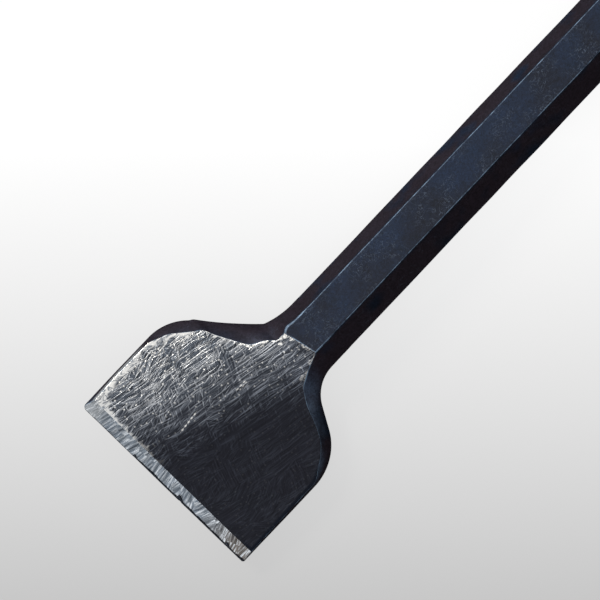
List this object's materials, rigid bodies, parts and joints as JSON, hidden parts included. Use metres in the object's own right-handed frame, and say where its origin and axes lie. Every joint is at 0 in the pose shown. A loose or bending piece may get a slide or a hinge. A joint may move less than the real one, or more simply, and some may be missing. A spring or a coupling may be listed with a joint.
{
  "type": "tile removal chisel",
  "caption": "Wide flat chisel bit for a rotary hammer: grooved round shank, hexagonal bar and a thin spread blade with a bevelled cutting edge.",
  "frame": {"origin": "centre of the struck end face, on the axis of the shank and bar", "axes": "+X along the tool to the cutting edge, +Z square to a flat of the hexagonal bar, up; the tool lies on the opposite flat"},
  "size_m": [0.25, 0.0493, 0.014],
  "materials": {
    "forged_steel": "black forge oxide on the bar, ground steel on the blade"
  },
  "bodies": {
    "root": {"chisel_body": "forged_steel"}
  },
  "joints": []
}
